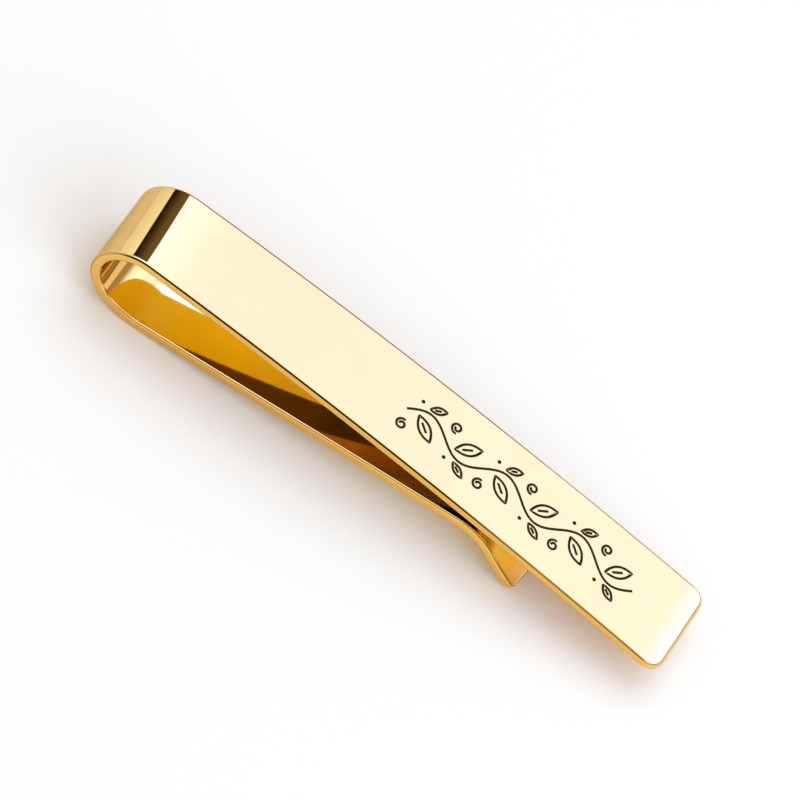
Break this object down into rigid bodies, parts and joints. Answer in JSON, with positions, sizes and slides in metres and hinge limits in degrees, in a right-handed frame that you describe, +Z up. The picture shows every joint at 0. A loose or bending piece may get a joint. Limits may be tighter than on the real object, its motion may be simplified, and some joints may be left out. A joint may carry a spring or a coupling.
{
  "type": "tie clip",
  "caption": "Spring tie clip bent from one flat metal strip: slim cambered front bar, teardrop bow and a rising rear leg with a pinch nose and lead-in foot.",
  "frame": {"origin": "on the surface the clip lies on, under the middle of its length and width", "axes": "+X along the clip from the closed bow to the free end of the front bar, +Y across the strip, +Z up through the decorated front"},
  "size_m": [0.0546, 0.0086, 0.0083],
  "materials": {
    "gold_plate": "mirror-polished gold plate"
  },
  "bodies": {
    "front": {"front_bar": "gold_plate", "bow_crown": "gold_plate"},
    "bow": {"bow_back": "gold_plate", "bow_heel": "gold_plate"},
    "leg_root": {"leg_root": "gold_plate"},
    "leg_tip": {"leg_end": "gold_plate", "pinch_nose": "gold_plate", "lead_in_foot": "gold_plate"}
  },
  "joints": [
    {"name": "bow_flex", "type": "hinge", "parent": "bow", "child": "front", "pos_m": [-0.02727, 0, 0.00445], "axis": [0, -1, 0], "range_deg": [0, 3.6], "stiffness_Nm_per_rad": 5.4},
    {"name": "heel_flex", "type": "hinge", "parent": "leg_root", "child": "bow", "pos_m": [-0.02143, 0, 0.00004], "axis": [0, -1, 0], "range_deg": [0, 2.5], "stiffness_Nm_per_rad": 6.5},
    {"name": "leg_flex", "type": "hinge", "parent": "leg_root", "child": "leg_tip", "pos_m": [-0.00688, 0, 0.0017], "axis": [0, 1, 0], "range_deg": [0, 2], "stiffness_Nm_per_rad": 4.1}
  ]
}
